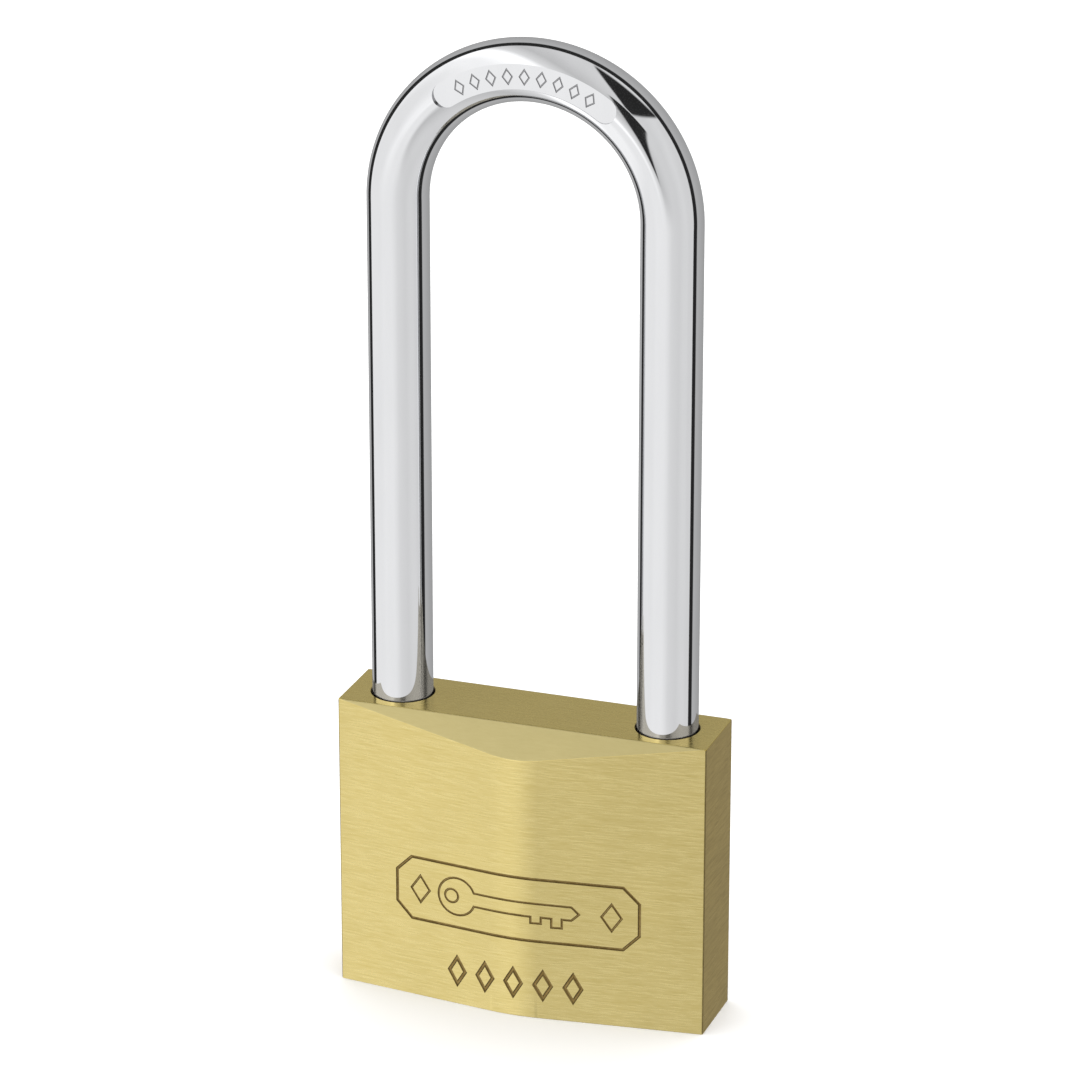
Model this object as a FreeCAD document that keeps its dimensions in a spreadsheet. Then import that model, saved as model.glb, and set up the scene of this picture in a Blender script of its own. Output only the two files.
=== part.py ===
import FreeCAD, Part
import math
import os
import Sketcher

# A 40 mm brass padlock with a long hardened-steel shackle, double locking, five pin tumblers.
#
# Frame: origin at the centre of the flat underside, +Z up through the shackle, X across the
# width and the front towards -Y. Millimetres throughout.
#
# Rest pose: the shackle is closed and the cylinder stands at its open angle, so both bolts are
# drawn in. The toe (free) leg is at -X and the heel leg, which stays captive, at +X.

X_AXIS = FreeCAD.Vector(1, 0, 0)
Y_AXIS = FreeCAD.Vector(0, 1, 0)
Z_AXIS = FreeCAD.Vector(0, 0, 1)
ALONG_X = FreeCAD.Rotation(Y_AXIS, 90)
ALONG_MINUS_X = FreeCAD.Rotation(Y_AXIS, -90)
ALONG_Y = FreeCAD.Rotation(X_AXIS, -90)
ALONG_MINUS_Y = FreeCAD.Rotation(X_AXIS, 90)

PIN_COUNT = 5

SIZES = [
    # alias, value, meaning
    ("body_width", 40.0, "width of the brass block"),
    ("body_height", 32.0, "height of the brass block"),
    ("edge_depth", 8.6, "depth of the block at its left and right faces"),
    ("ridge_rise", 2.4, "rise of the sharp ridge line over the corners, front and back"),
    ("ridge_radius", 22.0, "rounding along the ridge"),
    ("bevel_drop", 3.1, "how far the top bevel has fallen at the ridge"),
    ("leg_pitch", 28.9, "centre distance of the two shackle legs"),
    ("rod_radius", 3.175, "shackle rod, a quarter inch thick"),
    ("bow_height", 85.57, "centre of the bow's half circle"),
    ("toe_end", 21.5, "lower end of the toe leg"),
    ("heel_end", 8.0, "lower end of the heel leg"),
    ("shackle_travel", 11.5, "how far the shackle rises when it opens"),
    ("end_round", 0.8, "rounding of the leg ends"),
    ("pad_depth", 0.32, "flat pressed into the front of the bow"),
    ("pad_half_width", 1.3, "half the radial width of that flat"),
    ("pad_half_angle", 35.0, "half the angle that the flat spans, degrees"),
    ("hole_radius", 3.35, "shackle holes in the block"),
    ("toe_hole_floor", 19.0, "floor of the toe hole"),
    ("heel_hole_floor", 3.0, "floor of the heel hole"),
    ("bolt_level", 27.0, "axis of the cross bore and the bolts"),
    ("cross_radius", 3.0, "cross bore"),
    ("bolt_radius", 2.95, "locking bolts"),
    ("bolt_inner", 0.5, "inner end of each bolt from the centre, drawn in"),
    ("bolt_nose", 10.95, "nose of each bolt from the centre, drawn in"),
    ("bolt_travel", 2.2, "how far each bolt moves out to lock"),
    ("nose_chamfer", 0.35, "chamfer round each bolt end"),
    ("notch_floor", 13.3, "flat of the locking notches, from the centre plane"),
    ("notch_half_height", 3.2, "half the height of a locking notch"),
    ("peg_radius", 0.75, "pegs under the bolts"),
    ("peg_inner", 1.65, "distance of each peg from the centre, drawn in"),
    ("peg_top", 25.2, "top of the pegs, inside the bolts"),
    ("peg_bottom", 20.8, "bottom of the pegs, inside the cam"),
    ("plug_bore_radius", 5.0, "bore for the cylinder plug and the cam"),
    ("plug_bore_top", 25.0, "top of that bore"),
    ("plug_radius", 4.95, "cylinder plug"),
    ("plug_bottom", 0.2, "recess of the plug's face"),
    ("plug_top", 19.0, "top of the plug, where the cam sits"),
    ("tang_width", 1.6, "drive tang on top of the plug"),
    ("tang_length", 6.4, "length of the tang"),
    ("tang_height", 0.9, "height of the tang"),
    ("tang_play", 0.05, "clearance round the tang"),
    ("cam_radius", 4.9, "cam disc"),
    ("cam_top", 23.8, "top of the cam disc"),
    ("slot_floor", 20.6, "floor of the cam's spiral slots"),
    ("slot_half_width", 0.81, "half the width of the spiral slots"),
    ("keyway_top", 17.0, "how far up the keyway runs"),
    ("chamber_radius", 1.35, "pin chambers"),
    ("first_chamber", 3.0, "height of the first pin chamber"),
    ("chamber_pitch", 3.0, "spacing of the pin chambers"),
    ("pin_radius", 1.3, "key pins and driver pins"),
    ("shear_gap", 0.1, "gap from the pin ends to the shear line"),
    ("driver_length", 3.6, "driver pins"),
    ("cap_length", 2.5, "brass caps that close the pin chambers"),
    ("wire_radius", 0.175, "wire of the pin springs"),
    ("pin_coil_radius", 1.05, "mean radius of the pin springs"),
    ("pin_spring_turns", 8.0, "turns of a pin spring"),
    ("cross_cap_length", 1.8, "brass cap that closes the cross bore"),
    ("lift_wire_radius", 0.3, "wire of the shackle spring"),
    ("lift_coil_radius", 2.4, "mean radius of the shackle spring"),
    ("lift_spring_turns", 5.0, "turns of the shackle spring"),
    ("stop_radius", 1.0, "pin that keeps the heel leg captive"),
    ("stop_offset", 17.6, "distance of that pin from the centre plane"),
    ("stop_level", 22.5, "height of that pin"),
    ("stop_reach", 2.6, "how far that pin passes the middle, towards the front"),
    ("heel_neck", 2.0, "radius of the heel leg in its grooves"),
    ("groove_bottom", 9.9, "bottom of the heel grooves"),
    ("neck_top", 12.2, "top of the ring groove"),
    ("groove_top", 23.6, "top of the long flat"),
    ("keeper_radius", 0.75, "pin that holds the plug in its bore"),
    ("keeper_level", 17.8, "height of that pin"),
    ("keeper_reach", 2.5, "how far that pin passes the middle, towards the front"),
    ("keeper_groove_radius", 4.1, "radius of the plug in the keeper's groove"),
    ("keeper_groove_half", 0.82, "half the height of that groove"),
    ("pin_recess", 0.05, "how far those two pins end under the back face"),
    ("tip_length", 0.55, "cone at the end of a key pin"),
    ("tip_radius", 0.52, "end of that cone"),
    ("overrun", 1.0, "how far a cutter starts outside what it cuts"),
]
KEY_PIN_LENGTHS = [3.4, 2.7, 3.1, 2.5, 2.9]

# The keyway's section in the plug at rest: its long way runs along Y, open at the back of the
# plug, with one ward from each side. Each pair is (x, y).
KEYWAY_OUTLINE = [
    (-0.80, -3.3), (0.80, -3.3), (0.80, -1.1), (0.15, -0.7), (0.15, 0.5),
    (0.80, 0.9), (0.80, 5.2), (-0.80, 5.2), (-0.80, 3.1), (-0.25, 2.7),
    (-0.25, 1.7), (-0.80, 1.3),
]

doc = FreeCAD.newDocument("padlock")
sheet = doc.addObject("Spreadsheet::Sheet", "sizes")
for row, (alias, value, meaning) in enumerate(SIZES, start=1):
    sheet.set(f"A{row}", alias)
    sheet.set(f"B{row}", str(value))
    sheet.set(f"C{row}", meaning)
    sheet.setAlias(f"B{row}", alias)
for number, length in enumerate(KEY_PIN_LENGTHS, start=1):
    row = len(SIZES) + number
    sheet.set(f"A{row}", f"key_pin_length_{number}")
    sheet.set(f"B{row}", str(length))
    sheet.setAlias(f"B{row}", f"key_pin_length_{number}")
doc.recompute()

kept = []


def size(alias):
    """The value of a cell, for what can't be bound by an expression."""
    return float(sheet.get(alias))


def bind(item, **expressions):
    """Bind properties to the sheet: names use __ for a dot, cells are written without the sheet."""
    for prop, expression in expressions.items():
        item.setExpression(prop.replace("__", "."), expression)


def keep(item, name):
    """Give a finished sub-part the label that names its file."""
    item.Label = name
    kept.append(item)
    return item


def cylinder(owner, kind, name, radius, height, start, rotation=None):
    """A cylinder, alone in the document or as a feature of a body, from start along its axis."""
    make = owner.newObject if hasattr(owner, "newObject") else owner.addObject
    item = make(kind, name)
    if rotation is not None:
        item.Placement = FreeCAD.Placement(FreeCAD.Vector(), rotation)
    bind(item, Radius=radius, Height=height)
    place(item, start)
    return item


def box(body, kind, name, spans):
    """A box feature of a body; spans holds the low and high expression along X, Y and Z."""
    item = body.newObject(kind, name)
    lengths = [f"({high}) - ({low})" for low, high in spans]
    bind(item, Length=lengths[0], Width=lengths[1], Height=lengths[2])
    place(item, [low for low, high in spans])
    return item


def place(item, start):
    """Bind an item's position to three expressions."""
    for letter, expression in zip("xyz", start):
        item.setExpression(f"Placement.Base.{letter}", expression)


def new_sketch(body, name, plane, offset=None):
    """A sketch on one of the body's own origin planes, moved along its normal by offset."""
    sketch = body.newObject("Sketcher::SketchObject", name)
    support = next(f for f in body.Origin.OriginFeatures if f.Role == plane)
    sketch.AttachmentSupport = [(support, "")]
    sketch.MapMode = "FlatFace"
    if offset is not None:
        sketch.setExpression("AttachmentOffset.Base.z", offset)
    return sketch


def dimension(sketch, name, constraint, expression):
    """Add a named dimension to a sketch and bind it to the sheet."""
    index = sketch.addConstraint(constraint)
    sketch.renameConstraint(index, name)
    sketch.setExpression(f"Constraints.{name}", expression)


def add_polygon(sketch, corners):
    """Closed outline through the corners, each corner held by two bound dimensions.

    corners is a list of (name, x expression, y expression, x guess, y guess)."""
    count = len(corners)
    for i in range(count):
        here = FreeCAD.Vector(corners[i][3], corners[i][4], 0)
        there = FreeCAD.Vector(corners[(i + 1) % count][3], corners[(i + 1) % count][4], 0)
        sketch.addGeometry(Part.LineSegment(here, there), False)
    for i in range(count):
        sketch.addConstraint(Sketcher.Constraint("Coincident", i, 2, (i + 1) % count, 1))
    for i, (name, x_size, y_size, x_guess, y_guess) in enumerate(corners):
        across = Sketcher.Constraint("DistanceX", -1, 1, i, 1, x_guess)
        up = Sketcher.Constraint("DistanceY", -1, 1, i, 1, y_guess)
        dimension(sketch, f"{name}_x", across, x_size)
        dimension(sketch, f"{name}_y", up, y_size)


LEG = "sizes.leg_pitch / 2"
HALF_WIDTH = "sizes.body_width / 2"
HALF_EDGE = "sizes.edge_depth / 2"
RIDGE_SLOPE = "atan(sizes.ridge_rise / (sizes.body_width / 2))"
ARC_CENTRE = f"{HALF_EDGE} + sizes.ridge_rise - sizes.ridge_radius / cos({RIDGE_SLOPE})"
RIDGE_TOP = f"({ARC_CENTRE} + sizes.ridge_radius)"
CHAMBER_LEVELS = [
    f"sizes.first_chamber + {i} * sizes.chamber_pitch" for i in range(PIN_COUNT)
]


def plan_section(sketch):
    """Outline of the block from above: straight sides, and a low rounded ridge front and back."""
    half = size("body_width") / 2
    edge = size("edge_depth") / 2
    slope = math.atan(size("ridge_rise") / half)
    radius = size("ridge_radius")
    centre = edge + size("ridge_rise") - radius / math.cos(slope)
    reach = radius * math.sin(slope)
    crown = centre + radius * math.cos(slope)
    names = {}
    for side, sign in (("back", 1), ("front", -1)):
        corners = [(-half, edge), (-reach, crown), (reach, crown), (half, edge)]
        points = [FreeCAD.Vector(x, sign * y, 0) for x, y in corners]
        left = Part.LineSegment(points[0], points[1])
        right = Part.LineSegment(points[2], points[3])
        circle = Part.Circle(FreeCAD.Vector(0, sign * centre, 0), Z_AXIS, radius)
        middle = math.pi / 2 * sign
        arc = Part.ArcOfCircle(circle, middle - slope, middle + slope)
        names[side] = [sketch.addGeometry(item, False) for item in (left, arc, right)]
    for side, sign in (("back", 1), ("front", -1)):
        left, arc, right = names[side]
        # the arc runs anticlockwise: at the back from right to left, at the front from left to right
        left_end, right_end = (2, 1) if sign > 0 else (1, 2)
        sketch.addConstraint(Sketcher.Constraint("Tangent", left, 2, arc, left_end))
        sketch.addConstraint(Sketcher.Constraint("Tangent", right, 1, arc, right_end))
        sketch.addConstraint(Sketcher.Constraint("PointOnObject", arc, 3, -2))
        bend = Sketcher.Constraint("Radius", arc, radius)
        dimension(sketch, f"{side}_radius", bend, "sizes.ridge_radius")
        height = Sketcher.Constraint("DistanceY", -1, 1, arc, 3, sign * centre)
        dimension(sketch, f"{side}_centre", height, f"{sign} * ({ARC_CENTRE})")
        for corner, item, end, x_sign in (("left", left, 1, -1), ("right", right, 2, 1)):
            across = Sketcher.Constraint("DistanceX", -1, 1, item, end, x_sign * half)
            dimension(sketch, f"{side}_{corner}_x", across, f"{x_sign} * {HALF_WIDTH}")
    for corner, item, end, x_sign in (("left", 0, 1, -1), ("right", 2, 2, 1)):
        back = names["back"][item]
        front = names["front"][item]
        start = FreeCAD.Vector(x_sign * half, edge, 0)
        stop = FreeCAD.Vector(x_sign * half, -edge, 0)
        line = sketch.addGeometry(Part.LineSegment(start, stop), False)
        sketch.addConstraint(Sketcher.Constraint("Coincident", line, 1, back, end))
        sketch.addConstraint(Sketcher.Constraint("Coincident", line, 2, front, end))


def lock_body():
    body = doc.addObject("PartDesign::Body", "lock_body_solid")
    plan = new_sketch(body, "block_plan", "XY_Plane")
    plan_section(plan)
    block = body.newObject("PartDesign::Pad", "block")
    block.Profile = plan
    bind(block, Length="sizes.body_height")

    # the top bevels: planes from the line between the corners down to the ridge, front and back
    crown = size("edge_depth") / 2 + size("ridge_rise")
    edge = size("edge_depth") / 2
    top = size("body_height")
    far = f"({RIDGE_TOP} + sizes.overrun)"
    fall = f"sizes.bevel_drop * ({far} - {HALF_EDGE}) / ({RIDGE_TOP} - {HALF_EDGE})"
    for side, sign in (("back", 1), ("front", -1)):
        outline = new_sketch(body, f"{side}_bevel_outline", "YZ_Plane")
        add_polygon(outline, [
            ("inner", f"{sign} * {HALF_EDGE}", "sizes.body_height", sign * edge, top),
            ("outer", f"{sign} * {far}", f"sizes.body_height - {fall}", sign * (crown + 1), top - 4),
            ("above", f"{sign} * {far}", "sizes.body_height + sizes.overrun", sign * (crown + 1), top + 1),
            ("over", f"{sign} * {HALF_EDGE}", "sizes.body_height + sizes.overrun", sign * edge, top + 1),
        ])
        bevel = body.newObject("PartDesign::Pocket", f"{side}_bevel")
        bevel.Profile = outline
        bevel.Type = "Length"
        bevel.Midplane = True
        bind(bevel, Length="sizes.body_width + 2 * sizes.overrun")

    cut = "PartDesign::SubtractiveCylinder"
    for side, sign, floor in (("toe", -1, "sizes.toe_hole_floor"), ("heel", 1, "sizes.heel_hole_floor")):
        cylinder(body, cut, f"{side}_hole", "sizes.hole_radius",
                 f"sizes.body_height + sizes.overrun - {floor}", [f"{sign} * {LEG}", "0", floor])
    cylinder(body, cut, "plug_bore", "sizes.plug_bore_radius", "sizes.plug_bore_top + sizes.overrun",
             ["0", "0", "-sizes.overrun"])
    outside = f"-{HALF_WIDTH} - sizes.overrun"
    cylinder(body, cut, "cross_bore", "sizes.cross_radius", f"{LEG} - ({outside})",
             [outside, "0", "sizes.bolt_level"], ALONG_X)
    for number, level in enumerate(CHAMBER_LEVELS, start=1):
        cylinder(body, cut, f"chamber_{number}", "sizes.chamber_radius", f"-({outside})",
                 [outside, "0", level], ALONG_X)
    cylinder(body, cut, "stop_pin_hole", "sizes.stop_radius", f"sizes.stop_reach + {far}",
             ["sizes.stop_offset", "-sizes.stop_reach", "sizes.stop_level"], ALONG_Y)
    cylinder(body, cut, "keeper_pin_hole", "sizes.keeper_radius", f"sizes.keeper_reach + {far}",
             ["sizes.plug_bore_radius", "-sizes.keeper_reach", "sizes.keeper_level"], ALONG_Y)
    keep(body, "lock_body")


def face_depth(offset):
    """Expression for the half depth of the block at a distance from its centre plane."""
    return f"({HALF_EDGE} + sizes.ridge_rise * (1 - ({offset}) / ({HALF_WIDTH})))"


def shackle():
    body = doc.addObject("PartDesign::Body", "shackle_solid")
    add = "PartDesign::AdditiveCylinder"
    cylinder(body, add, "toe_leg", "sizes.rod_radius", "sizes.bow_height - sizes.toe_end",
             [f"-{LEG}", "0", "sizes.toe_end"])
    section = new_sketch(body, "bow_section", "XY_Plane", "sizes.bow_height")
    leg = size("leg_pitch") / 2
    rod = size("rod_radius")
    circle = section.addGeometry(Part.Circle(FreeCAD.Vector(-leg, 0, 0), Z_AXIS, rod), False)
    section.addConstraint(Sketcher.Constraint("PointOnObject", circle, 3, -1))
    dimension(section, "pitch", Sketcher.Constraint("DistanceX", circle, 3, -1, 1, leg), LEG)
    dimension(section, "rod", Sketcher.Constraint("Radius", circle, rod), "sizes.rod_radius")
    bow = body.newObject("PartDesign::Revolution", "bow")
    bow.Profile = section
    bow.ReferenceAxis = (section, ["V_Axis"])
    bow.Angle = 180
    doc.recompute()
    # the half turn has to go over the top: a bow that hangs below the legs is turned the other way
    if bow.Shape.BoundBox.ZMax < size("bow_height") + rod:
        bow.Reversed = True
        doc.recompute()
    cylinder(body, add, "heel_leg", "sizes.rod_radius", "sizes.bow_height - sizes.heel_end",
             [LEG, "0", "sizes.heel_end"])

    cut_box = "PartDesign::SubtractiveBox"
    clear = "(sizes.rod_radius + sizes.overrun)"
    across = (f"-{clear}", clear)

    def band(level):
        return (f"{level} - sizes.notch_half_height", f"{level} + sizes.notch_half_height")

    # the locking notches face each other; the lower one on the heel leg meets the bolt
    # when the shackle is up
    inner_toe = ("-sizes.notch_floor", f"-{LEG} + {clear}")
    inner_heel = (f"{LEG} - {clear}", "sizes.notch_floor")
    box(body, cut_box, "toe_notch", [inner_toe, across, band("sizes.bolt_level")])
    box(body, cut_box, "heel_notch", [inner_heel, across, band("sizes.bolt_level")])
    box(body, cut_box, "raised_notch",
        [inner_heel, across, band("(sizes.bolt_level - sizes.shackle_travel)")])
    # the long flat on the outside of the heel leg slides past the stop pin
    outer_heel = (f"{LEG} + sizes.heel_neck", f"{LEG} + {clear}")
    box(body, cut_box, "long_flat", [outer_heel, across, ("sizes.groove_bottom", "sizes.groove_top")])

    # the ring groove at its lower end lets the raised shackle turn about the heel leg
    ring = new_sketch(body, "ring_outline", "XZ_Plane")
    low = size("groove_bottom")
    high = size("neck_top")
    inside = leg + size("heel_neck")
    outside = leg + rod + size("overrun")
    add_polygon(ring, [
        ("low_in", outer_heel[0], "sizes.groove_bottom", inside, low),
        ("low_out", outer_heel[1], "sizes.groove_bottom", outside, low),
        ("high_out", outer_heel[1], "sizes.neck_top", outside, high),
        ("high_in", outer_heel[0], "sizes.neck_top", inside, high),
    ])
    middle = Part.LineSegment(FreeCAD.Vector(leg, low, 0), FreeCAD.Vector(leg, high, 0))
    axis = ring.addGeometry(middle, True)
    ring.addConstraint(Sketcher.Constraint("Vertical", axis))
    axis_x = Sketcher.Constraint("DistanceX", -1, 1, axis, 1, leg)
    axis_low = Sketcher.Constraint("DistanceY", -1, 1, axis, 1, low)
    axis_high = Sketcher.Constraint("DistanceY", -1, 1, axis, 2, high)
    dimension(ring, "axis_x", axis_x, LEG)
    dimension(ring, "axis_low", axis_low, "sizes.groove_bottom")
    dimension(ring, "axis_high", axis_high, "sizes.neck_top")
    neck = body.newObject("PartDesign::Groove", "ring_groove")
    neck.Profile = ring
    neck.ReferenceAxis = (ring, ["Axis0"])
    neck.Angle = 360

    # the pressed flat on the front of the bow: a slot bent round the bow's centre
    pad = new_sketch(body, "pad_outline", "XZ_Plane", "sizes.rod_radius - sizes.pad_depth")
    half_angle = math.radians(size("pad_half_angle"))
    add_bent_slot(pad, size("bow_height"), leg, size("pad_half_width"), half_angle)
    press = body.newObject("PartDesign::Pocket", "pad_press")
    press.Profile = pad
    press.Type = "Length"
    press.Reversed = True
    bind(press, Length="sizes.overrun")
    doc.recompute()

    # the rims of the leg ends are the edges that lie flat at the level of either end
    leg_levels = (size("toe_end"), size("heel_end"))
    rims = []
    for index, rim in enumerate(press.Shape.Edges, start=1):
        if any(abs(rim.BoundBox.ZMax - level) < 1e-6 for level in leg_levels):
            rims.append(f"Edge{index}")
    ends = body.newObject("PartDesign::Fillet", "leg_ends")
    ends.Base = (press, rims)
    bind(ends, Radius="sizes.end_round")
    keep(body, "shackle")


def add_bent_slot(sketch, height, radius, half_width, half_angle):
    """A slot bent about the point at the given height: two long arcs and two round ends."""
    centre = FreeCAD.Vector(0, height, 0)
    up = math.pi / 2
    first, last = up - half_angle, up + half_angle
    long_arcs = []
    for reach in (radius + half_width, radius - half_width):
        arc = Part.ArcOfCircle(Part.Circle(centre, Z_AXIS, reach), first, last)
        long_arcs.append(sketch.addGeometry(arc, False))
    outer, inner = long_arcs
    ends = []
    for angle, turn in ((first, -math.pi), (last, 0)):
        middle = centre + FreeCAD.Vector(math.cos(angle), math.sin(angle), 0) * radius
        start = angle + turn
        arc = Part.ArcOfCircle(Part.Circle(middle, Z_AXIS, half_width), start, start + math.pi)
        ends.append(sketch.addGeometry(arc, False))
    right, left = ends
    sketch.addConstraint(Sketcher.Constraint("PointOnObject", outer, 3, -2))
    sketch.addConstraint(Sketcher.Constraint("Coincident", outer, 3, inner, 3))
    sketch.addConstraint(Sketcher.Constraint("Tangent", outer, 1, right, 2))
    sketch.addConstraint(Sketcher.Constraint("Tangent", inner, 1, right, 1))
    sketch.addConstraint(Sketcher.Constraint("Tangent", outer, 2, left, 1))
    sketch.addConstraint(Sketcher.Constraint("Tangent", inner, 2, left, 2))
    level = Sketcher.Constraint("DistanceY", -1, 1, outer, 3, height)
    dimension(sketch, "centre", level, "sizes.bow_height")
    dimension(sketch, "outer", Sketcher.Constraint("Radius", outer, radius + half_width),
              f"{LEG} + sizes.pad_half_width")
    dimension(sketch, "inner", Sketcher.Constraint("Radius", inner, radius - half_width),
              f"{LEG} - sizes.pad_half_width")
    reach = radius * math.sin(half_angle)
    for side, arc, sign in (("right", right, 1), ("left", left, -1)):
        across = Sketcher.Constraint("DistanceX", -1, 1, arc, 3, sign * reach)
        dimension(sketch, f"{side}_reach", across, f"{sign} * {LEG} * sin(sizes.pad_half_angle)")


def cylinder_plug():
    body = doc.addObject("PartDesign::Body", "plug_solid")
    cylinder(body, "PartDesign::AdditiveCylinder", "plug_barrel", "sizes.plug_radius",
             "sizes.plug_top - sizes.plug_bottom", ["0", "0", "sizes.plug_bottom"])
    box(body, "PartDesign::AdditiveBox", "tang", [
        ("-sizes.tang_length / 2", "sizes.tang_length / 2"),
        ("-sizes.tang_width / 2", "sizes.tang_width / 2"),
        ("sizes.plug_top - sizes.overrun", "sizes.plug_top + sizes.tang_height"),
    ])
    for number, level in enumerate(CHAMBER_LEVELS, start=1):
        cylinder(body, "PartDesign::SubtractiveCylinder", f"plug_chamber_{number}", "sizes.chamber_radius",
                 "sizes.plug_radius + sizes.overrun", ["0", "0", level], ALONG_MINUS_Y)

    keyway = new_sketch(body, "keyway_outline", "XY_Plane")
    corners = [(f"corner_{i}", str(x), str(y), x, y) for i, (x, y) in enumerate(KEYWAY_OUTLINE, start=1)]
    add_polygon(keyway, corners)
    slot = body.newObject("PartDesign::Pocket", "keyway")
    slot.Profile = keyway
    slot.Type = "Length"
    slot.Reversed = True
    bind(slot, Length="sizes.keyway_top")

    outline = new_sketch(body, "keeper_groove_outline", "XZ_Plane")
    level = size("keeper_level")
    half = size("keeper_groove_half")
    inside = size("keeper_groove_radius")
    outside = size("plug_radius") + size("overrun")
    floor = "sizes.keeper_groove_radius"
    clear = "sizes.plug_radius + sizes.overrun"
    low = "sizes.keeper_level - sizes.keeper_groove_half"
    high = "sizes.keeper_level + sizes.keeper_groove_half"
    add_polygon(outline, [
        ("low_in", floor, low, inside, level - half),
        ("low_out", clear, low, outside, level - half),
        ("high_out", clear, high, outside, level + half),
        ("high_in", floor, high, inside, level + half),
    ])
    groove = body.newObject("PartDesign::Groove", "keeper_groove")
    groove.Profile = outline
    groove.ReferenceAxis = (outline, ["V_Axis"])
    groove.Angle = 360
    keep(body, "cylinder_plug")


def spiral_slot(name, turned):
    """Cutter for one cam slot: its middle line runs out evenly with the angle, a quarter turn long."""
    inner = size("peg_inner")
    rate = size("bolt_travel") / (math.pi / 2)
    half = size("slot_half_width")
    steps = 12
    left = []
    right = []
    for i in range(steps + 1):
        angle = math.pi / 2 * i / steps
        radius = inner + rate * angle
        out = FreeCAD.Vector(math.cos(angle), math.sin(angle), 0)
        ahead = FreeCAD.Vector(-math.sin(angle), math.cos(angle), 0)
        along = out * rate + ahead * radius
        normal = FreeCAD.Vector(along.y, -along.x, 0).normalize()
        left.append(out * radius + normal * half)
        right.append(out * radius - normal * half)
        if i == 0:
            first_tip = out * radius - along.normalize() * half
        if i == steps:
            last_tip = out * radius + along.normalize() * half
    edges = []
    for points in (left, right):
        curve = Part.BSplineCurve()
        curve.interpolate(points)
        edges.append(curve.toShape())
    edges.append(Part.Arc(right[0], first_tip, left[0]).toShape())
    edges.append(Part.Arc(right[-1], last_tip, left[-1]).toShape())
    outline = Part.Wire(Part.__sortEdges__(edges))
    depth = size("cam_top") + size("overrun") - size("slot_floor")
    cutter = doc.addObject("Part::Feature", name)
    cutter.Shape = Part.Face(outline).extrude(FreeCAD.Vector(0, 0, depth))
    cutter.Placement = FreeCAD.Placement(FreeCAD.Vector(), FreeCAD.Rotation(Z_AXIS, turned))
    place(cutter, ["0", "0", "sizes.slot_floor"])
    return cutter


def cam_disc():
    disc = cylinder(doc, "Part::Cylinder", "cam_blank", "sizes.cam_radius",
                    "sizes.cam_top - sizes.plug_top", ["0", "0", "sizes.plug_top"])
    socket = doc.addObject("Part::Box", "tang_socket")
    bind(socket, Length="sizes.tang_length + 2 * sizes.tang_play",
         Width="sizes.tang_width + 2 * sizes.tang_play",
         Height="sizes.tang_height + sizes.tang_play + sizes.overrun")
    place(socket, ["-sizes.tang_length / 2 - sizes.tang_play", "-sizes.tang_width / 2 - sizes.tang_play",
                   "sizes.plug_top - sizes.overrun"])
    cutters = doc.addObject("Part::MultiFuse", "cam_cutters")
    cutters.Shapes = [socket, spiral_slot("right_slot", 0), spiral_slot("left_slot", 180)]
    cam = doc.addObject("Part::Cut", "cam_disc_solid")
    cam.Base = disc
    cam.Tool = cutters
    keep(cam, "cam_disc")


def locking_bolt(side, sign):
    body = doc.addObject("PartDesign::Body", f"bolt_{side}_solid")
    rotation = ALONG_X if sign > 0 else ALONG_MINUS_X
    barrel = cylinder(body, "PartDesign::AdditiveCylinder", f"bolt_{side}_barrel", "sizes.bolt_radius",
                      "sizes.bolt_nose - sizes.bolt_inner",
                      [f"{sign} * sizes.bolt_inner", "0", "sizes.bolt_level"], rotation)
    doc.recompute()
    rims = [f"Edge{i}" for i, rim in enumerate(barrel.Shape.Edges, start=1) if rim.Closed]
    chamfer = body.newObject("PartDesign::Chamfer", f"bolt_{side}_chamfer")
    chamfer.Base = (barrel, rims)
    bind(chamfer, Size="sizes.nose_chamfer")
    socket_low = "sizes.bolt_level - sizes.bolt_radius - sizes.overrun"
    cylinder(body, "PartDesign::SubtractiveCylinder", f"bolt_{side}_socket", "sizes.peg_radius",
             f"sizes.peg_top - ({socket_low})", [f"{sign} * sizes.peg_inner", "0", socket_low])
    keep(body, f"locking_bolt_{side}")

    peg = cylinder(doc, "Part::Cylinder", f"peg_{side}", "sizes.peg_radius",
                   "sizes.peg_top - sizes.peg_bottom", [f"{sign} * sizes.peg_inner", "0", "sizes.peg_bottom"])
    keep(peg, f"bolt_peg_{side}")


def key_pin(number, level):
    """Key pin in the plug: round, with a cone towards the key; it points to the front at rest."""
    shank_length = f"(sizes.key_pin_length_{number} - sizes.tip_length)"
    shoulder = ["0", f"sizes.shear_gap - sizes.plug_radius + {shank_length}", level]
    shank = cylinder(doc, "Part::Cylinder", f"key_pin_{number}_shank", "sizes.pin_radius", shank_length,
                     shoulder, ALONG_MINUS_Y)
    tip = doc.addObject("Part::Cone", f"key_pin_{number}_tip")
    tip.Placement = FreeCAD.Placement(FreeCAD.Vector(), ALONG_Y)
    bind(tip, Radius1="sizes.pin_radius", Radius2="sizes.tip_radius", Height="sizes.tip_length")
    place(tip, shoulder)
    pin = doc.addObject("Part::Fuse", f"key_pin_{number}_solid")
    pin.Base = shank
    pin.Tool = tip
    keep(pin, f"key_pin_{number}")


DRIVER_INNER = "(sizes.plug_bore_radius + sizes.shear_gap)"
DRIVER_OUTER = f"({DRIVER_INNER} + sizes.driver_length)"
CAP_INNER = f"({HALF_WIDTH} - sizes.cap_length)"


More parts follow.
